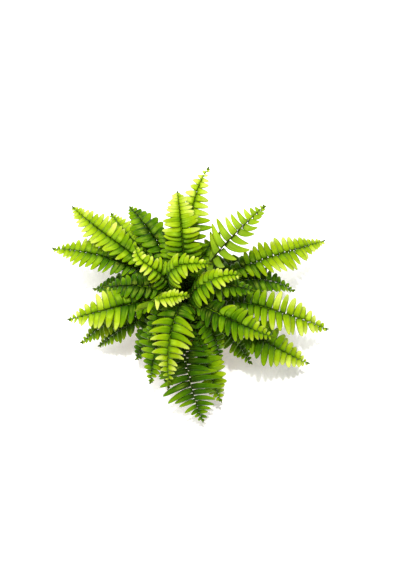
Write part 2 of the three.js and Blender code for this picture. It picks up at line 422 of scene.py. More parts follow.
def unit(vectors):
    """Vectors scaled to length 1."""
    return vectors / np.linalg.norm(vectors, axis=-1, keepdims=True)


def spread_of(vectors):
    """The length of vectors across the way the leaflets face."""
    return np.linalg.norm(vectors - np.outer(vectors @ TOWARDS_LIGHT, TOWARDS_LIGHT), axis=1)


# ---------------------------------------------------------------- reading the ribbons


def rings_of(node, crown):
    """The rings of section corners of a frond's ribbon, from its foot on the crown to its tip."""
    mesh = node.data
    corners = np.array([v.co for v in mesh.vertices])
    cells, welded = np.unique(np.round(corners / WELD), axis=0, return_inverse=True)
    welded = welded.ravel()
    points = cells * WELD
    beside = [set() for _ in points]
    for edge in mesh.edges:
        a, b = (welded[v] for v in edge.vertices)
        beside[a].add(b)
        beside[b].add(a)
    distance = np.linalg.norm(points - crown, axis=1)
    ring = set(np.argsort(distance)[:SECTION_CORNERS])
    seen = set(ring)
    rings = []
    while ring:
        rings.append(points[sorted(ring)])
        ring = set().union(*(beside[i] for i in ring)) - seen
        seen |= ring
    return rings


def section_of(ring):
    """A ring's two blade edges, the middle of its midrib and the way its upper face looks."""
    apart = np.linalg.norm(ring[:, None] - ring[None], axis=2)
    edges = np.unravel_index(apart.argmax(), apart.shape)
    rest = [i for i in range(len(ring)) if i not in edges]
    pairs = [(rest[0], rest[1]), (rest[0], rest[2]), (rest[1], rest[2])]
    keel = min(pairs, key=lambda pair: apart[pair])
    ridge = next(i for i in rest if i not in keel)
    below = ring[list(keel)].mean(0)
    middle = ring[ridge] * (1 - RIDGE_SHARE) + below * RIDGE_SHARE
    return ring[list(edges)], middle, unit(ring[ridge] - below)


class Spine:
    """A frond's midrib: where it runs, which way it faces and how wide its blade is."""

    def __init__(self, node, crown):
        sections = [section_of(ring) for ring in rings_of(node, crown)]
        self.middles = np.array([middle for _, middle, _ in sections])
        self.faces = np.array([face for _, _, face in sections])
        steps = np.linalg.norm(np.diff(self.middles, axis=0), axis=1)
        self.marks = np.concatenate([[0], np.cumsum(steps)])
        self.length = self.marks[-1]
        self.blade_start = self.marks[STIPE_RINGS]
        self.slopes = np.gradient(self.middles, self.marks, axis=0)
        across = np.cross(unit(self.slopes), self.faces)
        offsets = [(edges - middle) @ side for (edges, middle, _), side in zip(sections, across)]
        self.widest = np.abs(offsets).max()

    def at(self, places):
        """The middle and the ways forward, right and up at distances along the midrib."""
        places = np.clip(places, 0, self.length)
        i = np.clip(np.searchsorted(self.marks, places) - 1, 0, len(self.marks) - 2)
        gap = self.marks[i + 1] - self.marks[i]
        s = ((places - self.marks[i]) / gap)[:, None]
        a, b = self.middles[i], self.middles[i + 1]
        leaving, reaching = self.slopes[i] * gap[:, None], self.slopes[i + 1] * gap[:, None]
        middle = (
            (2 * s**3 - 3 * s**2 + 1) * a
            + (s**3 - 2 * s**2 + s) * leaving
            + (3 * s**2 - 2 * s**3) * b
            + (s**3 - s**2) * reaching
        )
        forward = unit(
            (6 * s**2 - 6 * s) * (a - b)
            + (3 * s**2 - 4 * s + 1) * leaving
            + (3 * s**2 - 2 * s) * reaching
        )
        face = self.faces[i] * (1 - s) + self.faces[i + 1] * s
        right = unit(np.cross(forward, face))
        return middle, forward, right, np.cross(right, forward)

    def half_width(self, places):
        """How far the blade reaches to each side as it widens from its foot, before any taper to the tip."""
        share = np.clip((places - self.blade_start) / (self.length - self.blade_start), 0, BLADE_WIDEST)
        return self.widest * np.sin(math.pi / 2 * share / BLADE_WIDEST) ** BLADE_FULLNESS

    def from_tip(self, places):
        """How far places on the midrib lie from its tip, as the light sees them or a little more."""
        seen = spread_of(self.at(places)[0] - self.middles[-1])
        return np.maximum(seen, SEEN_AT_LEAST * (self.length - places))


# ---------------------------------------------------------------- pieces of mesh


class Sheaf:
    """Gathers corners, faces, shading values and material numbers, and makes one mesh of them."""

    def __init__(self):
        self.corners, self.faces, self.values, self.kinds = [], [], [], []
        self.count = 0

    def add(self, corners, faces, values, kind=0):
        """values are four shading numbers for all the corners, or for each."""
        self.corners.append(corners)
        self.values.append(np.broadcast_to(values, (len(corners), 4)))
        self.faces.extend(tuple(int(i) + self.count for i in face) for face in faces)
        self.kinds.extend([kind] * len(faces))
        self.count += len(corners)

    def piece(self, name, materials):
        """The gathered mesh as an object in the scene."""
        mesh = bpy.data.meshes.new(name)
        mesh.from_pydata(np.concatenate(self.corners).tolist(), [], self.faces)
        for material in materials:
            mesh.materials.append(material)
        mesh.polygons.foreach_set("material_index", self.kinds)
        mesh.polygons.foreach_set("use_smooth", [True] * len(self.faces))
        layer = mesh.attributes.new("shade", "FLOAT_COLOR", "POINT")
        layer.data.foreach_set("color", np.concatenate(self.values).ravel())
        mesh.update()
        piece = bpy.data.objects.new(name, mesh)
        bpy.context.scene.collection.objects.link(piece)
        return piece


def tube(path, radii, sides, upward):
    """Corners and faces of a closed tube along a path, with one ring for each point."""
    forward = unit(np.gradient(path, axis=0))
    right = unit(np.cross(forward, upward))
    up = np.cross(right, forward)
    turns = np.linspace(0, 2 * math.pi, sides, endpoint=False)[None, :, None]
    ring = np.cos(turns) * right[:, None] + np.sin(turns) * up[:, None]
    corners = (path[:, None] + ring * np.asarray(radii)[:, None, None]).reshape(-1, 3)
    faces = []
    for s in range(len(path) - 1):
        for c in range(sides):
            a, b = s * sides + c, s * sides + (c + 1) % sides
            faces.append((a, a + sides, b + sides, b))
    last = (len(path) - 1) * sides
    faces.append(tuple(range(sides)))
    faces.append(tuple(last + c for c in reversed(range(sides))))
    return corners, faces


def turned(profile, segments):
    """Corners and faces of a closed [radius, height] profile turned round the z axis."""
    turns = np.linspace(0, 2 * math.pi, segments, endpoint=False)
    radius, height = np.array(profile).T
    corners = np.stack(
        [
            np.outer(radius, np.cos(turns)),
            np.outer(radius, np.sin(turns)),
            np.outer(height, np.ones(segments)),
        ],
        axis=-1,
    ).reshape(-1, 3)
    faces = []
    for p in range(len(profile) - 1):
        for s in range(segments):
            a, b = p * segments + s, p * segments + (s + 1) % segments
            faces.append((a, b, b + segments, a + segments))
    last = (len(profile) - 1) * segments
    faces.append(tuple(reversed(range(segments))))
    faces.append(tuple(last + s for s in range(segments)))
    return corners, faces


# ---------------------------------------------------------------- leaflets


def leaflet_skin():
    """Faces of one leaflet, whose upper and lower skins share their margin, and the lower skin's corners."""
    rows, columns = LEAFLET_ROWS + 1, LEAFLET_COLUMNS + 1
    upper = np.arange(rows * columns).reshape(rows, columns)
    lower = upper.copy()
    inner = np.arange((rows - 2) * (columns - 2)).reshape(rows - 2, columns - 2)
    lower[1:-1, 1:-1] = rows * columns + inner
    faces = []
    for r in range(rows - 1):
        for c in range(columns - 1):
            faces.append((upper[r, c], upper[r + 1, c], upper[r + 1, c + 1], upper[r, c + 1]))
            faces.append((lower[r, c], lower[r, c + 1], lower[r + 1, c + 1], lower[r + 1, c]))
    return faces, upper[1:-1, 1:-1].ravel()


SKIN_FACES, SKIN_INNER = leaflet_skin()


def leaflet_outline(along, point):
    """A leaflet's width along its length, as a share of its widest; point makes it triangular."""
    foot = 0.64 + 0.36 * smooth(0, 0.26, along)
    blunt = foot * np.clip(1 - along**3.2, 0, 1) ** 0.55
    pointed = (0.86 + 0.14 * smooth(0, 0.12, along)) * np.clip(1 - along, 0, 1) ** 0.62
    return np.maximum((1 - point) * blunt + point * pointed, 0.04)


def leaflet(form, rng):
    """One leaflet's corners, along it, towards the frond's tip and up, and its shading values."""
    length, width = form["length"], form["width"]
    steps = np.linspace(0, 1, LEAFLET_ROWS + 1)
    rows = 0.45 * steps + 0.55 * np.sin(math.pi / 2 * steps)
    columns = np.linspace(-1, 1, LEAFLET_COLUMNS + 1)
    t, v = (grid.ravel() for grid in np.meshgrid(rows, columns, indexing="ij"))
    outline = leaflet_outline(t, form["point"])
    half = width / 2 * outline
    ear = 1 + EAR_BULGE * np.exp(-(((t - EAR_PLACE) / EAR_LENGTH) ** 2)) * (v > 0)
    x = length * t
    y = form["sickle"] * length * t**2 + v * half * ear * math.cos(form["tilt"])
    rise = math.tan(form["lift"])
    z = length * (rise * t - (rise + form["drop"]) * t**2)
    turn = form["tilt"] + form["twist"] * t
    z += np.sin(turn) * v * half
    groove = GROOVE_DEPTH * np.exp(-((v / GROOVE_HALF_WIDTH) ** 2))
    z += width * outline * (ARCH * (1 - v**2) - groove)
    waves = rng.uniform(0, 2 * math.pi, 2)
    z += form["wave"] * width * v**2 * np.sin(9 * t + np.where(v > 0, waves[0], waves[1]))
    thickness = min(LEAFLET_THICKNESS, 0.06 * width)
    below = z - thickness * (1 + 1.4 * (1 - t) * np.exp(-((v / 0.3) ** 2)))
    x = np.concatenate([x, x[SKIN_INNER]])
    y = np.concatenate([y, y[SKIN_INNER]])
    z = np.concatenate([z, below[SKIN_INNER]])
    cos, sin = math.cos(form["slant"]), math.sin(form["slant"])
    corners = np.stack([x * cos - y * sin, x * sin + y * cos, z], axis=1)
    under = np.concatenate([np.zeros(len(t)), np.ones(len(SKIN_INNER))])
    t = np.concatenate([t, t[SKIN_INNER]])
    v = np.concatenate([v, v[SKIN_INNER]])
    return corners, t, (v + 1) / 2, under


def reach_of(spine, places, look):
    """How far the leaflets reach: a blade that widens from its foot and tapers evenly to its tip."""
    places = np.atleast_1d(places)
    blade = REACH_GAIN * look["reach"] * spine.half_width(places)
    stipe = STIPE_REACH * smooth(0, 0.4, places / spine.blade_start)
    full = np.maximum(blade, np.where(places < spine.blade_start * 1.2, stipe, 0))
    tapered = TIP_REACH + TIP_REACH_SLOPE * look["taper"] * spine.from_tip(places)
    return np.where(places > spine.length * TAPER_FROM, np.minimum(full, tapered), full)


def level_pitch(reach):
    """The distance between leaflets where the midrib lies level."""
    return LEAST_PITCH + PITCH_PER_REACH * reach


def leaflet_places(spine, look):
    """Distances along the midrib where leaflets leave it; they stand further apart where it hangs."""
    place = spine.length * look["start"]
    places = []
    while place < spine.length - BARE_TIP:
        places.append(place)
        run = max(float(spread_of(spine.at([place])[1])[0]), LEAST_RUN)
        place += look["pitch"] * level_pitch(float(reach_of(spine, place, look)[0])) / run
    return np.array(places)


def facing(forward, up):
    """The ways towards the tip and up for a leaflet that turns on its own length to face the light."""
    hand = 1 if up @ TOWARDS_LIGHT > 0 else -1
    angle = FACING_SHARE * math.atan2(-hand * (forward @ TOWARDS_LIGHT), hand * (up @ TOWARDS_LIGHT))
    angle = max(-MOST_FACING, min(MOST_FACING, angle))
    cos, sin = math.cos(angle), math.sin(angle)
    return forward * cos + up * sin, up * cos - forward * sin


def leaflet_form(look, reach, along, rng):
    """The shape of one leaflet that reaches this far, at this share of its frond's length."""
    young = float(smooth(YOUNG_FROM, 1.0, along))
    slant = look["slant"] + SLANT_ALONG * along + SLANT_YOUNG * young
    slant = math.radians(slant + rng.normal(0, SLANT_SPREAD))
    length = reach / math.cos(slant) * (1 + rng.normal(0, LENGTH_SPREAD))
    return {
        "length": length,
        "width": min(look["breadth"] * look["pitch"] * level_pitch(reach), 0.85 * length),
        "slant": slant,
        "lift": LIFT + rng.normal(0, math.radians(LIFT_SPREAD)),
        "sickle": look["sickle"] * (1 - 0.5 * young) + rng.normal(0, SICKLE_SPREAD),
        "tilt": math.radians(look["tilt"] + rng.normal(0, TILT_SPREAD)),
        "twist": math.radians(rng.normal(0, TWIST_SPREAD)),
        "drop": look["drop"] + rng.normal(0, DROP_SPREAD),
        "wave": rng.uniform(0.0, 0.05),
        "point": min(0.8, look["point"] + 0.25 * young),
    }


def grow_leaflets(sheaf, spine, look, rng):
    """Adds the two rows of leaflets, the right row set half a pitch further on than the left."""
    places = leaflet_places(spine, look)
    pitches = np.gradient(places)
    for hand in (-1, 1):
        stations = np.minimum(places + (0.5 * pitches if hand > 0 else 0), spine.length - 0.6 * BARE_TIP)
        middles, forwards, rights, ups = spine.at(stations)
        reaches = reach_of(spine, stations, look)
        along = stations / spine.length
        painted_light_share = smooth(*look["fade"], along)
        for k, reach in enumerate(reaches):
            form = leaflet_form(look, reach, along[k], rng)
            corners, t, v, under = leaflet(form, rng)
            axes = np.stack([hand * rights[k], *facing(forwards[k], ups[k])])
            world = middles[k] + ups[k] * LEAFLET_RAISE + corners @ axes
            # The tone is partly the frond's own green and partly painted shade: darker towards its foot
            # inside the plant, lighter towards its tip.
            tone = look["tone"] * (0.2 + 0.8 * painted_light_share[k]) + 0.12 * (along[k] - 0.75)
            tone += rng.normal(0, TONE_SPREAD)
            shade = np.stack([t, v, np.full(len(t), tone), under], axis=1)
            faces = SKIN_FACES if hand > 0 else [face[::-1] for face in SKIN_FACES]
            sheaf.add(world, faces, shade, 0)


def grow_stalk(sheaf, spine, girth, dark):
    """Adds the stalk, from the crown to the tip."""
    stations = np.linspace(0, spine.length, STALK_STATIONS)
    middles, _, _, ups = spine.at(stations)
    share = stations / spine.length
    radii = girth * (STALK_RADIUS_FOOT + (STALK_RADIUS_TIP - STALK_RADIUS_FOOT) * share**STALK_TAPER)
    corners, faces = tube(middles, radii, STALK_SIDES, ups)
    values = np.stack([share, np.full_like(share, dark), share * 0, share * 0], axis=1)
    sheaf.add(corners, faces, np.repeat(values, STALK_SIDES, axis=0), 1)


def grow_tip(sheaf, spine, girth, rng):
    """Adds the coil at the end of the stalk and the curled leaflets round it."""
    middle, forward, right, up = (way[0] for way in spine.at([spine.length]))
    radius = COIL_RADIUS * girth * rng.uniform(0.85, 1.15)
    turn = np.linspace(0, 1, COIL_STATIONS)
    angle = (2 * math.pi * COIL_TURNS * turn)[:, None]
    arm = (radius * (1 - 0.7 * turn))[:, None]
    path = middle + up * radius + arm * (np.sin(angle) * forward - np.cos(angle) * up)
    thick = STALK_RADIUS_TIP * (1.3 + 1.3 * np.sin(math.pi * turn))
    side = np.cross(forward, up)
    corners, faces = tube(path, thick, STALK_SIDES, np.broadcast_to(side, path.shape))
    sheaf.add(corners, faces, (1, 0.7, 0, 0), 1)
    for k, back in enumerate(TIP_LEAFLETS_BACK):
        hand = 1 if k % 2 else -1
        form = {
            "length": rng.uniform(2.8, 3.8) * MM,
            "width": 2.8 * MM,
            "slant": math.radians(rng.uniform(25, 50)),
            "lift": math.radians(rng.uniform(30, 55)),
            "sickle": 0.2,
            "tilt": 0,
            "twist": 0,
            "drop": 0.5,
            "wave": 0.03,
            "point": 0.2,
        }
        corners, _, _, _ = leaflet(form, rng)
        axes = np.stack([hand * right, *facing(forward, up)])
        world = middle - forward * back + corners @ axes
        faces = SKIN_FACES if hand > 0 else [face[::-1] for face in SKIN_FACES]
        sheaf.add(world, faces, (1, 0.45, 0, 0), 1)


# ---------------------------------------------------------------- materials


def shader(name, roughness, specular):
    """A new node material: the material, its tree and its Principled shader."""
    material = bpy.data.materials.new(name)
    material.use_nodes = True
    tree = material.node_tree
    principled = tree.nodes["Principled BSDF"]
    principled.inputs["Roughness"].default_value = roughness
    principled.inputs["Specular IOR Level"].default_value = specular
    return material, tree, principled


def node(tree, kind, **settings):
    """A new shader node with its properties set."""
    made = tree.nodes.new(kind)
    for key, value in settings.items():
        setattr(made, key, value)
    return made


def math_node(tree, operation, a, b=None, c=None):
    """A Math node on sockets or plain numbers; returns its output."""
    made = node(tree, "ShaderNodeMath", operation=operation)
    for socket, value in zip(made.inputs, (a, b, c)):
        if value is None:
            continue
        if isinstance(value, (int, float)):
            socket.default_value = value
        else:
            tree.links.new(value, socket)
    return made.outputs[0]


def times(tree, a, b):
    """The product of two sockets, or of a socket and a number."""
    return math_node(tree, "MULTIPLY", a, b)


def plus(tree, a, b):
    """The sum of two sockets, or of a socket and a number."""
    return math_node(tree, "ADD", a, b)


def shade_parts(tree):
    """The four shading values of a sheaf's corners."""
    shade = node(tree, "ShaderNodeAttribute", attribute_name="shade")
    parts = node(tree, "ShaderNodeSeparateColor")
    tree.links.new(shade.outputs["Color"], parts.inputs[0])
    return *parts.outputs, shade.outputs["Alpha"]


def ramp(tree, factor, stops):
    """A colour ramp over a factor, from (position, linear colour) stops."""
    made = node(tree, "ShaderNodeValToRGB")
    elements = made.color_ramp.elements
    while len(elements) < len(stops):
        elements.new(0.5)
    for element, (position, colour) in zip(elements, stops):
        element.position = position
        element.color = (*colour, 1)
    tree.links.new(factor, made.inputs[0])
    return made.outputs[0]


def mixed(tree, factor, a, b, blend="MIX"):
    """A colour mix of two colours or sockets by a factor; returns its output."""
    made = node(tree, "ShaderNodeMix", data_type="RGBA", blend_type=blend)
    for socket, value in ((made.inputs[0], factor), (made.inputs[6], a), (made.inputs[7], b)):
        if isinstance(value, (int, float)):
            socket.default_value = value
        elif isinstance(value, tuple):
            socket.default_value = (*value, 1)
        else:
            tree.links.new(value, socket)
    return made.outputs[2]


def noise_of(tree, scale, detail, roughness=0.55):
    """A Noise texture's factor over the object's own coordinates."""
    place = node(tree, "ShaderNodeTexCoord").outputs["Object"]
    texture = node(tree, "ShaderNodeTexNoise")
    texture.inputs["Scale"].default_value = scale
    texture.inputs["Detail"].default_value = detail
    texture.inputs["Roughness"].default_value = roughness
    tree.links.new(place, texture.inputs["Vector"])
    return texture.outputs["Fac"]


def bumped(tree, principled, height, strength, distance):
    """Gives a shader a bump from a height socket."""
    bump = node(tree, "ShaderNodeBump")
    bump.inputs["Strength"].default_value = strength
    bump.inputs["Distance"].default_value = distance
    tree.links.new(height, bump.inputs["Height"])
    tree.links.new(bump.outputs[0], principled.inputs["Normal"])


def leaf_material():
    """Leaf green by tone: painted shade at the leaflets' feet, paler ends, margins lightened as a painted
    highlight, slanting veins and a duller underside.
    """
    material, tree, principled = shader("fern_leaf", 0.38, 0.36)
    principled.inputs["Specular Tint"].default_value = LEAF_GLOSS
    along, across, tone, under = shade_parts(tree)
    off_middle = math_node(tree, "ABSOLUTE", math_node(tree, "SUBTRACT", across, 0.5))
    mottle = noise_of(tree, 260, 3)
    toned = math_node(tree, "MULTIPLY_ADD", mottle, 0.20, tone)
    toned = math_node(tree, "MULTIPLY_ADD", along, 0.46, toned)
    # Painted highlight: the tone is raised along each leaflet's margins.
    margin = ramp(tree, off_middle, [(0.40, (0, 0, 0)), (0.49, (1, 1, 1))])
    toned = math_node(tree, "MULTIPLY_ADD", margin, 0.15, toned)
    green = ramp(tree, math_node(tree, "SUBTRACT", toned, 0.32), LEAF_GREENS)
    # Painted shade at each leaflet's foot.
    green = mixed(tree, 1.0, green, ramp(tree, along, LEAF_FOOT_PAINTED_SHADE), "MULTIPLY")
    rib = ramp(tree, off_middle, [(0.0, (1, 1, 1)), (0.05, (0, 0, 0))])
    green = mixed(tree, times(tree, rib, 0.13), green, RIB_GREEN)
    slanted = math_node(tree, "SUBTRACT", times(tree, along, 80.0), times(tree, off_middle, 34.0))
    veins = math_node(tree, "SINE", slanted)
    green = mixed(tree, times(tree, plus(tree, veins, 1.0), 0.05), green, VEIN_GREEN)
    green = mixed(tree, times(tree, under, 0.30), green, UNDERSIDE_GREEN)
    tree.links.new(green, principled.inputs["Base Color"])
    bumped(tree, principled, math_node(tree, "MULTIPLY_ADD", veins, 0.25, mottle), 0.35, 0.25 * MM)
    glow = node(tree, "ShaderNodeBsdfTranslucent")
    tree.links.new(green, glow.inputs["Color"])
    both = node(tree, "ShaderNodeMixShader")
    both.inputs[0].default_value = 0.25
    tree.links.new(principled.outputs[0], both.inputs[1])
    tree.links.new(glow.outputs[0], both.inputs[2])
    tree.links.new(both.outputs[0], tree.nodes["Material Output"].inputs["Surface"])
    return material


def stalk_material():
    """Stalks, dark at the foot and greener outwards, or dark all along where the shade says so."""
    material, tree, principled = shader("fern_stalk", 0.8, 0.06)
    principled.inputs["Specular Tint"].default_value = LEAF_GLOSS
    along, dark, _, _ = shade_parts(tree)
    green = ramp(tree, along, STALK_GREENS)
    speckle = noise_of(tree, 900, 2)
    colour = mixed(tree, dark, green, mixed(tree, speckle, *STALK_DARKS))
    tree.links.new(colour, principled.inputs["Base Color"])
    bumped(tree, principled, speckle, 0.4, 0.2 * MM)
    return material


def clay_material():
    """Fired clay: mottled orange-brown, throwing lines, fine grit and a pale bloom, most at the foot."""
    material, tree, principled = shader("fired_clay", 0.86, 0.3)
    broad = noise_of(tree, 22, 5, 0.6)
    grit = noise_of(tree, 900, 3, 0.7)
    clay = mixed(tree, times(tree, grit, 0.28), ramp(tree, broad, CLAY_TONES), GRIT_COLOUR)
    place = node(tree, "ShaderNodeTexCoord").outputs["Object"]
    split = node(tree, "ShaderNodeSeparateXYZ")
    tree.links.new(place, split.inputs[0])
    height = split.outputs[2]
    low = ramp(tree, times(tree, height, 9.0), [(0.0, (1, 1, 1)), (0.42, (0, 0, 0))])
    patches = ramp(tree, noise_of(tree, 55, 6, 0.65), [(0.45, (0, 0, 0)), (0.66, (1, 1, 1))])
    bloom = times(tree, patches, plus(tree, times(tree, low, 0.4), 0.14))
    tree.links.new(mixed(tree, bloom, clay, BLOOM_COLOUR), principled.inputs["Base Color"])
    turns = plus(tree, times(tree, height, 2600.0), times(tree, broad, 4.0))
    rings = math_node(tree, "SINE", turns)
    bumped(tree, principled, plus(tree, times(tree, rings, 0.18), grit), 0.5, 0.35 * MM)
    return material


def granule_material():
    """Potting mix: peat and bark in many browns, with white perlite where the shade says so."""
    material, tree, principled = shader("potting_mix_granules", 0.95, 0.2)
    tone, perlite, _, _ = shade_parts(tree)
    crumbs = noise_of(tree, 700, 4, 0.7)
    earth = ramp(tree, plus(tree, times(tree, tone, 0.6), times(tree, crumbs, 0.5)), EARTH_TONES)
    colour = mixed(tree, perlite, earth, mixed(tree, crumbs, *PERLITE_WHITES))
    tree.links.new(colour, principled.inputs["Base Color"])
    bumped(tree, principled, crumbs, 0.8, 0.6 * MM)
    return material


def scale_material():
    """The crown's papery scales and old stubs, darkened with painted shade."""
    material, tree, principled = shader("crown_scale", 0.75, 0.3)
    along, _, tone, _ = shade_parts(tree)
    streaks = noise_of(tree, 1200, 3)
    brown = ramp(tree, plus(tree, times(tree, tone, 0.7), times(tree, streaks, 0.3)), SCALE_TONES_AND_SHADE)
    colour = mixed(tree, times(tree, along, 0.25), brown, SCALE_END)
    tree.links.new(colour, principled.inputs["Base Color"])
    bumped(tree, principled, streaks, 0.5, 0.2 * MM)
    return material


def floor_material():
    """A matt white floor that glows a little, so that it stays white under the light."""
    material, tree, principled = shader("studio_floor", 0.9, 0.1)
    tint = mixed(tree, noise_of(tree, 3, 2), *FLOOR_GREYS)
    tree.links.new(tint, principled.inputs["Base Color"])
    principled.inputs["Emission Color"].default_value = (1, 1, 1, 1)
    principled.inputs["Emission Strength"].default_value = FLOOR_GLOW
    return material


# ---------------------------------------------------------------- the plant


def grow_frond(cad, crown, materials, rng):
    """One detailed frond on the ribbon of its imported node."""
    spine = Spine(cad, crown)
    look = PLAIN_LOOK | LOOKS.get(cad.name.replace("frond_", ""), {})
    upside_down = spine.faces[-1][2] < 0
    sheaf = Sheaf()
    grow_stalk(sheaf, spine, look["stalk"], 1.0 if upside_down else 0.1)
    grow_tip(sheaf, spine, look["stalk"], rng)
    grow_leaflets(sheaf, spine, look, rng)
    return sheaf.piece(cad.name.replace("frond_", "leafy_frond_"), materials)


def drill(pot, angle, material):
    """Cuts one drain hole through the pot's floor."""
    sheaf = Sheaf()
    sheaf.add(*turned([(DRAIN_RADIUS, -POT_FLOOR), (DRAIN_RADIUS, 2 * POT_FLOOR)], 32), (0, 0, 0, 0))
    cutter = sheaf.piece("drain_cutter", [material])
    cutter.location = (DRAIN_RING_RADIUS * math.cos(angle), DRAIN_RING_RADIUS * math.sin(angle), 0)
    cut = pot.modifiers.new("drain", "BOOLEAN")
    cut.operation = "DIFFERENCE"
    cut.solver = "EXACT"
    cut.object = cutter
    bpy.context.view_layer.update()
    graph = bpy.context.evaluated_depsgraph_get()
    holed = bpy.data.meshes.new_from_object(pot.evaluated_get(graph))
    pot.modifiers.clear()
    pot.data = holed
    bpy.data.objects.remove(cutter)


def make_pot(material):
    """The clay pot: a turned body with a rounded rim band and drain holes cut through its floor."""
    _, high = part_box("pot")
    height, rim = high.z, high.x
    body_top = rim - RIM_STEP
    foot = rim * POT_TAPER

    def body(z):
        return foot + (body_top - foot) * z / height

    band = height - RIM_HEIGHT
    profile = [(foot - 2.0 * MM, 0), (foot - 0.6 * MM, 0.5 * MM), (foot, 1.9 * MM)]
    profile += [(body(z), z) for z in np.linspace(6 * MM, band - 1.5 * MM, 14)]
    profile += [(body(band) + 0.5 * MM, band - 0.4 * MM), (body(band) + 2.6 * MM, band + 0.2 * MM)]
    profile += [(body(band) + 3.9 * MM, band + 1.2 * MM), (body(band) + 4.4 * MM, band + 3.0 * MM)]
    profile += [(body(z) + RIM_STEP, z) for z in np.linspace(band + 6 * MM, height - 3 * MM, 4)]
    lip = body(height) + RIM_STEP - LIP_INSET
    for a in np.linspace(0, math.pi, 9):
        up = height - LIP_HALF_HEIGHT + LIP_HALF_HEIGHT * math.sin(a)
        profile.append((lip + LIP_HALF_WIDTH * math.cos(a), up))
    profile += [(body(z) - POT_WALL, z) for z in np.linspace(height - 5 * MM, POT_FLOOR + 3 * MM, 8)]
    profile.append((body(POT_FLOOR) - POT_WALL - 2 * MM, POT_FLOOR))
    sheaf = Sheaf()
    sheaf.add(*turned(profile, POT_SEGMENTS), (0, 0, 0, 0))
    pot = sheaf.piece("clay_pot", [material])
    for i in range(DRAIN_HOLES):
        drill(pot, 2 * math.pi * i / DRAIN_HOLES + math.pi / 2, material)
    pot.data.set_sharp_from_angle(angle=SHARP_ANGLE)
    return pot


def lump(size, squash, rng):
    """Corners and faces of one irregular granule."""
    golden = (1 + 5**0.5) / 2
    base = [(-1, golden, 0), (1, golden, 0), (-1, -golden, 0), (1, -golden, 0)]
    base += [(0, -1, golden), (0, 1, golden), (0, -1, -golden), (0, 1, -golden)]
    base += [(golden, 0, -1), (golden, 0, 1), (-golden, 0, -1), (-golden, 0, 1)]
    faces = [(0, 11, 5), (0, 5, 1), (0, 1, 7), (0, 7, 10), (0, 10, 11), (1, 5, 9), (5, 11, 4)]
    faces += [(11, 10, 2), (10, 7, 6), (7, 1, 8), (3, 9, 4), (3, 4, 2), (3, 2, 6), (3, 6, 8)]
    faces += [(3, 8, 9), (4, 9, 5), (2, 4, 11), (6, 2, 10), (8, 6, 7), (9, 8, 1)]
    corners = unit(np.array(base)) * rng.uniform(0.7, 1.15, (12, 1)) * size
    corners *= np.array([1, rng.uniform(0.6, 1), squash])
    spin = rng.uniform(0, 2 * math.pi)
    cos, sin = math.cos(spin), math.sin(spin)
    turn = np.array([[cos, -sin, 0], [sin, cos, 0], [0, 0, 1]])
    return corners @ turn.T, faces


def circle(radius, height):
    """The mix's corners round a level circle."""
    turns = np.linspace(0, 2 * math.pi, MIX_SEGMENTS, endpoint=False)
    return [(radius * math.cos(a), radius * math.sin(a), height) for a in turns]


def make_mix(material, rng):
    """The potting mix: an uneven filling with loose granules over it."""
    low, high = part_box("potting_mix")
    _, crown_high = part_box("crown")
    socket, outer = crown_high.x, high.x

    def fall(r):
        return MIX_HEAP * (r - socket) / (outer - socket)

    corners = []
    for r in np.linspace(socket * 0.6, outer, MIX_RINGS):
        for x, y, z in circle(r, high.z - MIX_UNDER_GRANULES - max(0, fall(r))):
            rough = noise.fractal(Vector((x, y, 0)) / (6 * MM), 0.8, 2.0, 4) * MIX_ROUGHNESS
            corners.append((x, y, z + rough))
    corners += circle(outer, high.z - 8 * MM) + circle(outer * 0.72, low.z)
    faces = []
    for p in range(MIX_RINGS + 1):
        for s in range(MIX_SEGMENTS):
            a, b = p * MIX_SEGMENTS + s, p * MIX_SEGMENTS + (s + 1) % MIX_SEGMENTS
            faces.append((a, a + MIX_SEGMENTS, b + MIX_SEGMENTS, b))
    last = (MIX_RINGS + 1) * MIX_SEGMENTS
    faces.append(tuple(range(MIX_SEGMENTS)))
    faces.append(tuple(last + s for s in reversed(range(MIX_SEGMENTS))))
    sheaf = Sheaf()
    sheaf.add(np.array(corners), faces, (0.35, 0, 0, 0))
    for _ in range(GRANULES):
        r = math.sqrt(rng.uniform(socket**2, (outer - 1.5 * MM) ** 2))
        a = rng.uniform(0, 2 * math.pi)
        perlite = rng.random() < PERLITE_SHARE
        size = rng.uniform(0.5, 1.1) * MM if perlite else rng.gamma(2.2, 0.36) * MM + 0.3 * MM
        size = min(size, LARGEST_GRANULE)
        shape, sides = lump(size, 0.9 if perlite else rng.uniform(0.3, 0.8), rng)
        z = high.z - MIX_UNDER_GRANULES - fall(r) + 0.15 * size
        centre = np.array([r * math.cos(a), r * math.sin(a), z])
        sheaf.add(shape + centre, sides, (rng.uniform(0.1, 1), float(perlite), 0, 0))
    return sheaf.piece("potting_mix_granular", [material])


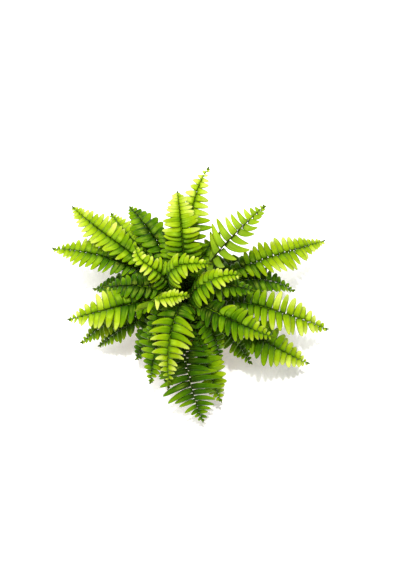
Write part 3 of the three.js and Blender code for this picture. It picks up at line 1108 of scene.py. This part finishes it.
def add_scale(sheaf, radius, dome, rng):
    """Adds one papery scale that leans outwards from the crown and bends down at its end."""
    r = radius * math.sqrt(rng.uniform(0, 1)) * 0.97
    a = rng.uniform(0, 2 * math.pi)
    outward = np.array([math.cos(a + rng.normal(0, 0.5)), math.sin(a + rng.normal(0, 0.5)), 0])
    rise = rng.uniform(0.15, 0.9)
    way = unit(outward * math.cos(rise) + np.array([0, 0, math.sin(rise)]))
    base = np.array([r * math.cos(a), r * math.sin(a), dome(r) - 1.0 * MM])
    length = rng.uniform(2.5, 5.0) * MM
    side = unit(np.cross(way, [0, 0, 1]))
    normal = np.cross(side, way)
    breadth = rng.uniform(0.35, 0.7) * MM
    rows = []
    for s, w in ((0, 0.7), (0.35, 1.0), (0.7, 0.6), (1.0, 0.12)):
        centre = base + way * length * s - np.array([0, 0, 1]) * 0.9 * MM * s**2
        for across, lift in ((-1, 0), (0, 0.25), (1, 0), (0, -0.15)):
            rows.append(centre + side * breadth * w * across + normal * lift * breadth)
    quads = []
    for s in range(3):
        for c in range(4):
            p, q = s * 4 + c, s * 4 + (c + 1) % 4
            quads.append((p, p + 4, q + 4, q))
    quads += [(0, 1, 2, 3), (15, 14, 13, 12)]
    along = np.repeat([0, 0.35, 0.7, 1.0], 4)
    tone = rng.uniform(0.2, 0.9)
    values = np.stack([along, along * 0, along * 0 + tone, along * 0], axis=1)
    sheaf.add(np.array(rows), quads, values)


def add_stub(sheaf, radius, dome, rng):
    """Adds the short stub of an old frond."""
    r, a = radius * rng.uniform(0.5, 0.9), rng.uniform(0, 2 * math.pi)
    lean = rng.uniform(0.2, 0.7)
    way = np.array([math.cos(a) * math.sin(lean), math.sin(a) * math.sin(lean), math.cos(lean)])
    base = np.array([r * math.cos(a), r * math.sin(a), dome(r) - 1.5 * MM])
    reach = np.linspace(0, rng.uniform(4, 9) * MM, 5)[:, None]
    path = base + way * reach
    radii = np.full(5, rng.uniform(0.8, 1.2) * MM)
    radii[-1] *= 0.8
    corners, faces = tube(path, radii, 7, np.broadcast_to(np.array([0.1, 0.2, 1.0]), path.shape))
    sheaf.add(corners, faces, (0.4, 0, 0.35, 0))


def make_crown(material, rng):
    """The crown: a knobbly dome under a shag of papery scales, with the stubs of old fronds."""
    low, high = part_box("crown")
    radius, foot, top = high.x, low.z, high.z

    def dome(r):
        return foot + (top - foot) * (1 - (2 / 3) * min(1, r / radius) ** 2)

    profile = [(radius * 0.97, foot)]
    profile += [(radius * s, dome(radius * s) - CROWN_KNOBS) for s in np.linspace(0.98, 0.04, 14)]
    corners, faces = turned(profile, 72)
    for c in corners:
        push = noise.fractal(Vector(c) / (5 * MM), 0.9, 2.1, 3) * CROWN_KNOBS
        c[2] += push if c[2] > foot + 1 * MM else 0
    sheaf = Sheaf()
    sheaf.add(corners, faces, (0.1, 0, 0.25, 0))
    for _ in range(CROWN_SCALES):
        add_scale(sheaf, radius, dome, rng)
    for _ in range(CROWN_STUBS):
        add_stub(sheaf, radius, dome, rng)
    return sheaf.piece("scaly_crown", [material])


# ---------------------------------------------------------------- stage


def place_camera():
    """The camera, far above and in front, looking down past the crown."""
    forward = Vector((0, math.cos(VIEW_ELEVATION), -math.sin(VIEW_ELEVATION)))
    up = Vector((0, math.sin(VIEW_ELEVATION), math.cos(VIEW_ELEVATION)))
    target = Vector((VIEW_RIGHT_OF_CROWN, 0, CROWN_LEVEL)) + up * VIEW_ABOVE_CROWN
    data = bpy.data.cameras.new("camera")
    data.lens = LENS
    camera = bpy.data.objects.new("camera", data)
    camera.location = target - forward * VIEW_DISTANCE
    camera.rotation_euler = forward.to_track_quat("-Z", "Y").to_euler()
    bpy.context.scene.collection.objects.link(camera)
    bpy.context.scene.camera = camera


def light_stage():
    """A dim world, a softbox and a high sun that casts the short shadows."""
    world = bpy.data.worlds.new("studio")
    world.use_nodes = True
    world.node_tree.nodes["Background"].inputs["Color"].default_value = WORLD_COLOUR
    world.node_tree.nodes["Background"].inputs["Strength"].default_value = WORLD_STRENGTH
    bpy.context.scene.world = world
    data = bpy.data.lights.new("softbox", "AREA")
    data.shape = "DISK"
    data.size = SOFTBOX_SIZE
    data.energy = SOFTBOX_POWER
    softbox = bpy.data.objects.new("softbox", data)
    softbox.location = SOFTBOX_PLACE
    aim = SOFTBOX_AIM - Vector(SOFTBOX_PLACE)
    softbox.rotation_euler = aim.to_track_quat("-Z", "Y").to_euler()
    bpy.context.scene.collection.objects.link(softbox)
    data = bpy.data.lights.new("overhead", "SUN")
    data.energy = SUN_STRENGTH
    data.angle = SUN_ANGLE
    overhead = bpy.data.objects.new("overhead", data)
    overhead.rotation_euler = (-SUN_TILT, 0, 0)
    bpy.context.scene.collection.objects.link(overhead)
    bpy.context.scene.view_settings.view_transform = "Standard"


def make_floor():
    """A wide white floor under the pot."""
    reach = FLOOR_REACH
    corners = np.array([(-reach, -reach, 0), (reach, -reach, 0), (reach, reach, 0), (-reach, reach, 0)])
    sheaf = Sheaf()
    sheaf.add(corners, [(0, 1, 2, 3)], (0, 0, 0, 0))
    floor = sheaf.piece("studio_floor", [floor_material()])


def main():
    """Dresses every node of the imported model."""
    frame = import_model()
    place_camera()
    make_floor()
    light_stage()

    crown_low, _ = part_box("crown")
    crown_foot = np.array([0, 0, crown_low.z])
    materials = [leaf_material(), stalk_material()]
    rng = np.random.default_rng(SEED)
    made = {}
    for name in sorted(name for name in frame["nodes"] if name.startswith("frond_")):
        made[name] = grow_frond(frame["nodes"][name], crown_foot, materials, rng)
    made["pot"] = make_pot(clay_material())
    made["potting_mix"] = make_mix(granule_material(), rng)
    made["crown"] = make_crown(scale_material(), rng)
    for name, piece in made.items():
        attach(piece, "root")
        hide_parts(name)


main()
